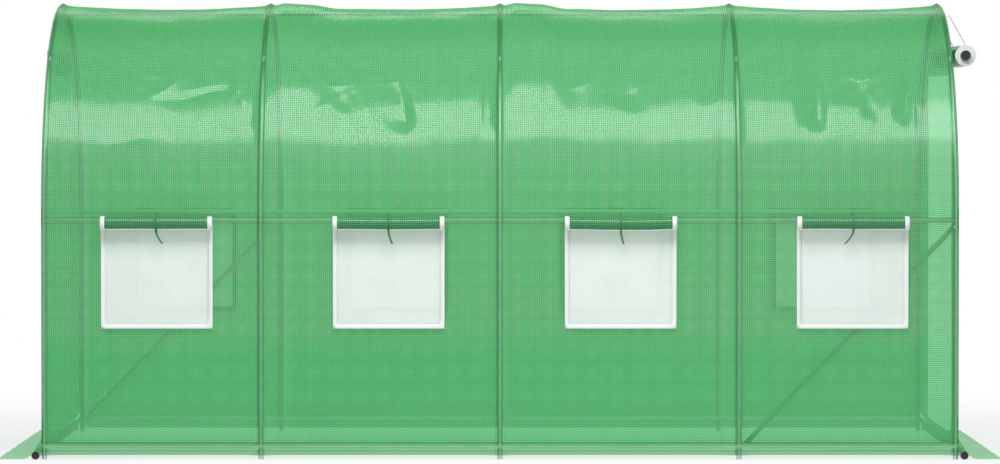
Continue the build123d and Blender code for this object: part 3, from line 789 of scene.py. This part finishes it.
def rounded(offset, limit, other, other_limit):
    """Pull a frame's outer corner in by a small radius."""
    near = max(0.0, abs(other) - (other_limit - corner_round))
    reach = limit - corner_round
    if abs(offset) <= reach:
        return offset
    allowed = reach + math.sqrt(max(0.0, corner_round ** 2 - near ** 2))
    return math.copysign(min(abs(offset), allowed), offset)


def place_tape(middle, side):
    mid_z = (tape_low + tape_high) / 2
    half_z = (tape_high - tape_low) / 2

    def place(x, z):
        dx = rounded(x, frame_half, z - mid_z, half_z)
        dz = rounded(z - mid_z, half_z, x, frame_half)
        wave = 0.0004 * noise.noise(Vector((x * 20, z * 20, middle)))
        return Vector((middle - side * dx, side * (tape_y + wave), mid_z + dz))
    return place


def place_screen(middle, side):
    def place(x, z):
        held = smooth((frame_half - abs(x)) / 0.06) * smooth(min(z - tape_low, tape_high - z) / 0.06)
        slack = (noise.noise(Vector((x * 4, z * 3, middle + side))) - 0.4) * 0.004 * held
        return Vector((middle - side * x, side * (screen_y + slack), z))
    return place


corner_steps = (0.004, 0.007)
x_edges = [side * (frame_half - step) for side in (-1, 1) for step in corner_steps]
z_edges = [tape_low + step for step in corner_steps] + [tape_high - step for step in corner_steps]
tape_x = stations(-frame_half, frame_half, 0.022, [-opening_half, opening_half] + x_edges)
tape_z = stations(tape_low, tape_high, 0.022, [opening_low, opening_high] + z_edges)
screen_x = stations(-frame_half, frame_half, 0.024)
screen_z = stations(tape_low, tape_high, 0.024)
tapes, screens = [], []
for number, (side, middle) in enumerate(windows):
    strip = make_sheet(f"window_tape_{number + 1}", tape_x, tape_z, place_tape(middle, side),
                       keep=lambda x, z: abs(x) > opening_half or not opening_low < z < opening_high,
                       materials=(tape,))
    give_thickness(strip, 0.0018)
    panel = make_sheet(f"window_screen_{number + 1}", screen_x, screen_z, place_screen(middle, side),
                       materials=(screen,))
    for piece, slot in ((strip, "closing_tape"), (panel, "screen_mesh")):
        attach(piece, "root")
    tapes.append(strip)
    screens.append(panel)
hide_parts("window_tapes")
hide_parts("window_screens")

# %% [markdown]
# A tie holds each roll up: a narrow webbing strap sewn to the wall over the roll and brought down round its
# front, with a tail that hangs and swings to one side. A strap is a ribbon along a line of points, wide in
# one direction and thin in the other, so the sheet builder can make it too.

# %% Straps
def runs_along(line):
    """How far along a line of points each one lies."""
    runs = [0.0]
    for start, end in zip(line, line[1:]):
        runs.append(runs[-1] + (end - start).length)
    return runs


def point_at(line, runs, run):
    """The point of a line that lies nearest to a run."""
    return line[min(range(len(runs)), key=lambda i: abs(runs[i] - run))]


def ribbon(name, line, wide, width, thickness, material):
    """A flat strap along a line of points, wide in one direction."""
    runs = runs_along(line)

    def place(share, run):
        return point_at(line, runs, run) + wide * share * width
    strap = make_sheet(name, [-0.5, -0.17, 0.17, 0.5], runs, place, materials=(material,))
    for corner in strap.data.uv_layers["metres"].data:
        corner.uv.x *= width
    give_thickness(strap, thickness)
    return strap, runs[-1]


def window_tie_line(middle, side, swing):
    centre = Vector((middle, side * roll_y, roll_z))
    hug = flap_roll_radius + 0.0018
    points = [Vector((middle, side * y, roll_z + up)) for y, up in ((1.0158, 0.050), (1.0185, 0.043))]
    for step in range(15):
        out, up = turned_by(math.radians(120 - step * 14)) * hug
        points.append(centre + Vector((0, side * out, up)))
    last = points[-1]
    for step in range(1, 9):
        fall = step / 8
        points.append(last + Vector((swing * fall ** 1.6, side * 0.004 * fall, -0.062 * fall)))
    return points


swings = [0.030, 0.018, 0.012, -0.040, 0.022, -0.015, 0.020, -0.028]
tie_width = 0.010
for number, (side, middle) in enumerate(windows):
    line = window_tie_line(middle, side, swings[number])
    tie, run = ribbon(f"window_tie_{number + 1}", line, Vector((1, 0, 0)), tie_width, 0.0012, tie_webbing)
    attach(tie, "root")
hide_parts("window_ties")
print("window tie", round(run * 1000), "mm long")

# %% [markdown]
# The right door is rolled up on its bottom bar. Its sheet starts on the gable over the doorway, goes over the
# top of the roll and winds inwards to the bar in about seven loose turns. White tape on both side edges makes
# the end of the roll pale. Two grey straps carry the roll, from the gable round under it and back.

# %% The rolled door and its straps
door_width = 1.24
door_length = 1.86
door_x, door_z = 2.2103, 1.892
door_radius = 0.0508
door_lead = 0.0475
door_tape_width = 0.025
door_strap_width = 0.012
bar_hug = 0.0262
unwound = 0.077
door_half = door_width / 2
door_pitch = (door_radius ** 2 - bar_hug ** 2) * math.pi / (door_length - unwound)


def place_door(y, run):
    spot = spiral_point(run, door_lead, door_radius, door_pitch, math.radians(120))
    loose = 1 + 0.012 * noise.noise(Vector((y * 6, run * 5, 44)))
    return Vector((door_x + spot.x * loose, y, door_z + spot.y * loose))


door_sides = side_strips(door_width, door_tape_width)
door_across = stations(-door_half, door_half, 0.031, [door_sides[0][1], door_sides[1][0]])
door_along = [0.0, 0.012, 0.024, 0.036] + stations(door_lead, door_length, 0.0105)
door_sheet = make_sheet("right_door_sheet", door_across, door_along, place_door, materials=(film, tape),
                        material_of=lambda y, run: 1 if abs(y) > door_sides[1][0] else 0)
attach(door_sheet, "root")
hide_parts("right_door_roll", "right_door_head")
door_tape = tape_strips("right_door_side_tape", door_sides, door_along[4:], place_door, 0.0031)
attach(door_tape, "root")
print("door sheet", len(door_sheet.data.polygons), "faces, turns", round(door_pitch * 1000, 1), "mm apart")


def door_tie_line(y):
    """Points of a strap from the gable, under the roll and back to the gable."""
    centre = Vector((door_x, y, door_z))
    hug = door_radius + 0.0022

    def on_roll(angle):
        across, up = turned_by(angle) * hug
        return centre + Vector((across, 0, up))
    points = [Vector((2.1462, y, 2.0815)), Vector((2.1545, y, 2.0845)), Vector((2.1628, y, 2.0870))]
    head = points[-1] - centre
    reach = math.acos(hug / math.hypot(head.x, head.z))
    lean = math.atan2(head.z, head.x)
    first = lean - reach
    touch = on_roll(first)
    points += [points[-1].lerp(touch, share / 6) for share in range(1, 7)]
    back = Vector((2.1466, y, 2.02)) - centre
    back_reach = math.acos(hug / math.hypot(back.x, back.z))
    last = math.atan2(back.z, back.x) + back_reach - 2 * math.pi
    points += [on_roll(first + (last - first) * step / 18) for step in range(1, 19)]
    end = centre + back
    points += [points[-1].lerp(end, share / 4) for share in range(1, 5)]
    return points


for number, y in enumerate((-0.3, 0.3), start=1):
    line = door_tie_line(y)
    tie, run = ribbon(f"door_tie_{number}", line, Vector((0, 1, 0)), door_strap_width, 0.0022, grey_webbing)
    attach(tie, "root")
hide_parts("door_ties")
print("door tie", round(run * 1000), "mm long")

# %% [markdown]
# The left door is closed: a panel that overlaps the end wall all round, with a white coil zip down each side.
# The zips are strips with their own ribbed finish, laid on the door's edges.

# %% The closed door
door_top = 1.914
door_face, zip_face = -2.1493, -2.1512
zip_width = 0.026


def place_left_door(y, z):
    held = smooth((door_half - abs(y)) / 0.1) * smooth((door_top - z) / 0.1)
    ripple = noise.noise(Vector((y * 4.0, z * 1.2, 50))) * 0.004 * held
    return Vector((door_face - ripple, -y, z))


left_door = make_sheet("left_door_sheet", stations(-door_half, door_half, 0.03),
                       stations(wall_foot, door_top, 0.03), place_left_door)
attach(left_door, "root")
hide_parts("left_door")
for word, y in (("near", -doorway_half), ("far", doorway_half)):
    line = [Vector((zip_face, y, wall_foot + (doorway_head - wall_foot) * i / 40)) for i in range(41)]
    zipper, run = ribbon(f"left_door_zip_{word}", line, Vector((0, 1, 0)), zip_width, 0.0018, zip_coil)
    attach(zipper, "root")
print("closed door", len(left_door.data.polygons), "faces")

# %% [markdown]
# The ground flap leaves the foot of the end wall, goes over the ground bar and lies on the ground, where soil
# or stones would weigh it down. Its section is a line of a few straight parts and arcs; the sheet is that
# section carried across the tunnel, with slow waves where it lies.

# %% Ground flaps
bar_x, bar_z, bar_radius = 2.1698, 0.019, 0.0178
flap_reach = 2.3485


def flap_section():
    """Points of the flap's section in X and Z, from the wall out to its free edge."""
    start = Vector((wall_x + 0.0008, wall_foot + 0.004))
    centre = Vector((bar_x, bar_z))
    away = start - centre
    touch = math.atan2(away.y, away.x) - math.acos(bar_radius / away.length)
    first = centre + turned_by(touch) * bar_radius
    points = [start.lerp(first, i / 6) for i in range(7)]
    leave = centre + turned_by(touch - 0.25) * (bar_radius + 0.001)
    points.append(leave)
    ground = Vector((2.2350, 0.0016))
    for i in range(1, 11):
        share = i / 10
        height = ground.y + (leave.y - ground.y) * (1 - share) ** 2
        points.append(Vector((leave.x + (ground.x - leave.x) * share, height)))
    points += [Vector((ground.x + (flap_reach - ground.x) * i / 8, ground.y)) for i in range(1, 9)]
    return points


section = flap_section()
section_runs = runs_along(section)


def place_ground_flap(side):
    def place(run, y):
        point = point_at(section, section_runs, run)
        lying = smooth((run - 0.12) / 0.1)
        wave = abs(noise.noise(Vector((y * 4, run * 6, 60 + side)))) * 0.004 * lying
        edge_wander = noise.noise(Vector((y * 3, 0, 61 + side))) * 0.004 * smooth((run - 0.2) / 0.08)
        return Vector((side * (point.x - abs(edge_wander)), side * y, point.y + wave))
    return place


for side, word in ((1, "right"), (-1, "left")):
    across = stations(-skin, skin, 0.034)
    skirt = make_sheet(f"{word}_ground_flap", section_runs, across, place_ground_flap(side),
                       materials=(flap_film,))
    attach(skirt, "root")
    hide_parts(f"{word}_skirt")
print("ground flap", round(section_runs[-1] * 1000), "mm wide flat")

# %% [markdown]
# Bolts pin every joint. A bolt is three cylinders, shaped by insets: the head gets a raised middle with a
# shallow recess, and the six-sided nut a step on its outer face. It is modelled once for each grip length and
# copied to its joints, each copy with a mesh of its own, turned so that the head is outside and the nut
# inside. The copies are joined into one piece for each kind of joint.

# %% One bolt
bolt_radius = 0.0028
head_radius, head_height = 0.0055, 0.0026
nut_radius, nut_height = 0.0056, 0.0045


def edit_faces(piece, choose):
    """Select the faces that a test picks, in edit mode."""
    bpy.ops.object.mode_set(mode="EDIT")
    bpy.ops.mesh.select_mode(type="FACE")
    bpy.ops.mesh.select_all(action="DESELECT")
    bpy.ops.object.mode_set(mode="OBJECT")
    for face in piece.data.polygons:
        face.select = choose(face)
    bpy.ops.object.mode_set(mode="EDIT")


def make_bolt(name, grip):
    """A pan-head bolt along -Z with its head's underside at the origin and a nut after the grip."""
    bpy.ops.object.select_all(action="DESELECT")
    bpy.ops.mesh.primitive_cylinder_add(vertices=12, radius=head_radius, depth=head_height,
                                        location=(0, 0, head_height / 2))
    head = bpy.context.object
    edit_faces(head, lambda face: face.normal.z > 0.9)
    bpy.ops.mesh.inset(thickness=0.0016, depth=0.0006)
    bpy.ops.mesh.inset(thickness=0.0018, depth=-0.0008)
    bpy.ops.object.mode_set(mode="OBJECT")
    length = grip + 2 * nut_height
    bpy.ops.mesh.primitive_cylinder_add(vertices=10, radius=bolt_radius, depth=length,
                                        location=(0, 0, -length / 2))
    shank = bpy.context.object
    bpy.ops.mesh.primitive_cylinder_add(vertices=6, radius=nut_radius, depth=nut_height,
                                        location=(0, 0, -grip - nut_height / 2))
    nut = bpy.context.object
    edit_faces(nut, lambda face: face.normal.z < -0.9)
    bpy.ops.mesh.inset(thickness=0.0010, depth=0.0005)
    bpy.ops.object.mode_set(mode="OBJECT")
    select_only(head, shank, nut)
    bpy.ops.object.transform_apply(location=True, rotation=True, scale=True)
    join_pieces([head, shank, nut], name)
    head.data.materials.clear()
    head.data.materials.append(zinc_plate)
    return head


def copy_to(pattern, places, name):
    """Copies of a piece at (point, outward direction) places, joined into one piece."""
    copies = []
    for point, outward in places:
        turn = Vector((0, 0, 1)).rotation_difference(outward).to_matrix().to_4x4()
        mesh = pattern.data.copy()
        mesh.transform(Matrix.Translation(point) @ turn)
        copy = bpy.data.objects.new(name, mesh)
        bpy.context.scene.collection.objects.link(copy)
        copies.append(copy)
    return join_pieces(copies, name)


def hoop_place(x, angle):
    """A point on a hoop's outside and the outward direction, at an angle from the back spring line."""
    out = Vector((0, *turned_by(angle)))
    return Vector((x, 0, spring)) + out * tube_face, out


def wall_place(x, side, z, y=tube_face):
    """A point on a tube of the wall and the outward direction."""
    return Vector((x, side * y, z)), Vector((0, side, 0))


# %% Bolts at the joints
rail_face = 0.9825
joint_turns = (bolt_lift, math.pi - bolt_lift, bolt_turn, math.pi - bolt_turn)
clips = [(x, side, z) for x in hoops for side in (-1, 1) for z in (mid_clip_z, rail_z)]
ridge_places = [(Vector((x, 0, spring + tube_face)), Vector((0, 0, 1))) for x in hoops]
brace_feet = [(1.1435, -1, rail_z), (-2.1035, 1, rail_z)]
bolt_sets = {
    "hoop_joint_bolts": (0.0252, [hoop_place(x, angle) for x in hoops for angle in joint_turns]),
    "rail_clip_bolts": (0.0552, [wall_place(*clip) for clip in clips]),
    "ridge_and_brace_bolts": (0.0585, ridge_places + [wall_place(*bolt) for bolt in brace_bolts]),
    "brace_foot_bolts": (0.0285, [wall_place(*foot, rail_face) for foot in brace_feet]),
}
for name, (grip, places) in bolt_sets.items():
    pattern = make_bolt("bolt_pattern", grip)
    bolts = copy_to(pattern, places, name)
    bpy.data.objects.remove(pattern)
    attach(bolts, "root")
    print(len(places), name.replace("_", " "))

# %% [markdown]
# The floor and the light come last. The room is white to the camera, in reflections and through the film, and
# dimmer as a source of light for the rest, so the background is clean while the film keeps its colour. The
# floor turns white in the same way away from the tunnel, and keeps its shadow near it. One long softbox in
# front of the tunnel and above it gives the broad pale band along the shoulder of the roof, and a weaker one
# behind it lights the far wall.

# %% Floor and light
def seen_directly(tree):
    """1 for rays from the camera, off a shiny surface or through a sheet, and 0 for the rest."""
    rays = add_node(tree, "LightPath").outputs
    seen = add_node(tree, "Math", {0: rays["Is Camera Ray"], 1: rays["Is Glossy Ray"]}, operation="MAXIMUM")
    seen = add_node(tree, "Math", {0: seen.outputs[0], 1: rays["Is Transmission Ray"]}, operation="MAXIMUM")
    return seen.outputs[0]


bpy.ops.object.select_all(action="DESELECT")
bpy.ops.mesh.primitive_plane_add(size=120, location=(0, 0, -0.0006))
floor = bpy.context.object
floor.name = "floor"
bpy.ops.object.transform_apply(location=True, rotation=True, scale=True)
floor_white = new_material("studio_floor_white")
spot = add_node(floor_white, "TexCoord").outputs["Object"]
grain = add_node(floor_white, "TexNoise", {"Vector": spot, "Scale": 2.0}).outputs[0]
matt = add_node(floor_white, "BsdfDiffuse", {"Color": ramp(floor_white, grain, "#EDEDED", "#F0F0F0")})
bright = add_node(floor_white, "Emission", {"Color": (1, 1, 1, 1), "Strength": 1.0})
away = add_node(floor_white, "VectorMath", {0: spot}, operation="LENGTH").outputs["Value"]
clean = add_node(floor_white, "MapRange", {0: away, 1: 2.5, 2: 5.0, 3: 0.72, 4: 1.0}).outputs[0]
seen = seen_directly(floor_white)
amount = add_node(floor_white, "Math", {0: clean, 1: seen}, operation="MULTIPLY").outputs[0]
mixed = add_node(floor_white, "MixShader", {0: amount, 1: matt.outputs[0], 2: bright.outputs[0]})
finish_material(floor_white, mixed.outputs[0])
floor.data.materials.append(floor_white)

world = bpy.data.worlds.new("studio")
bpy.context.scene.world = world
world.use_nodes = True
world.node_tree.nodes.clear()
room = add_node(world, "Background", {"Color": linear("#F4F7FA"), "Strength": 0.37})
white = add_node(world, "Background", {"Color": (1, 1, 1, 1), "Strength": 1.0})
either = add_node(world, "MixShader", {0: seen_directly(world), 1: room.outputs[0], 2: white.outputs[0]})
add_node(world, "OutputWorld", {"Surface": either.outputs[0]})


def softbox(name, spot, target, size, power):
    """A rectangular lamp at a spot, facing a target."""
    aim = (Vector(target) - Vector(spot)).to_track_quat("-Z", "Y").to_euler()
    bpy.ops.object.light_add(type="AREA", location=spot, rotation=aim)
    lamp = bpy.context.object
    lamp.name = name
    lamp.data.shape = "RECTANGLE"
    lamp.data.size, lamp.data.size_y = size
    lamp.data.energy = power
    return lamp


softbox("shoulder_softbox", (0, -4.87, 6.86), (0, -0.88, 1.6), (5.8, 2.9), 500)
softbox("far_softbox", (0, 6.5, 6.0), (0, 0.6, 1.4), (9.0, 2.0), 200)
bpy.context.scene.view_settings.view_transform = "Standard"
print("studio ready")
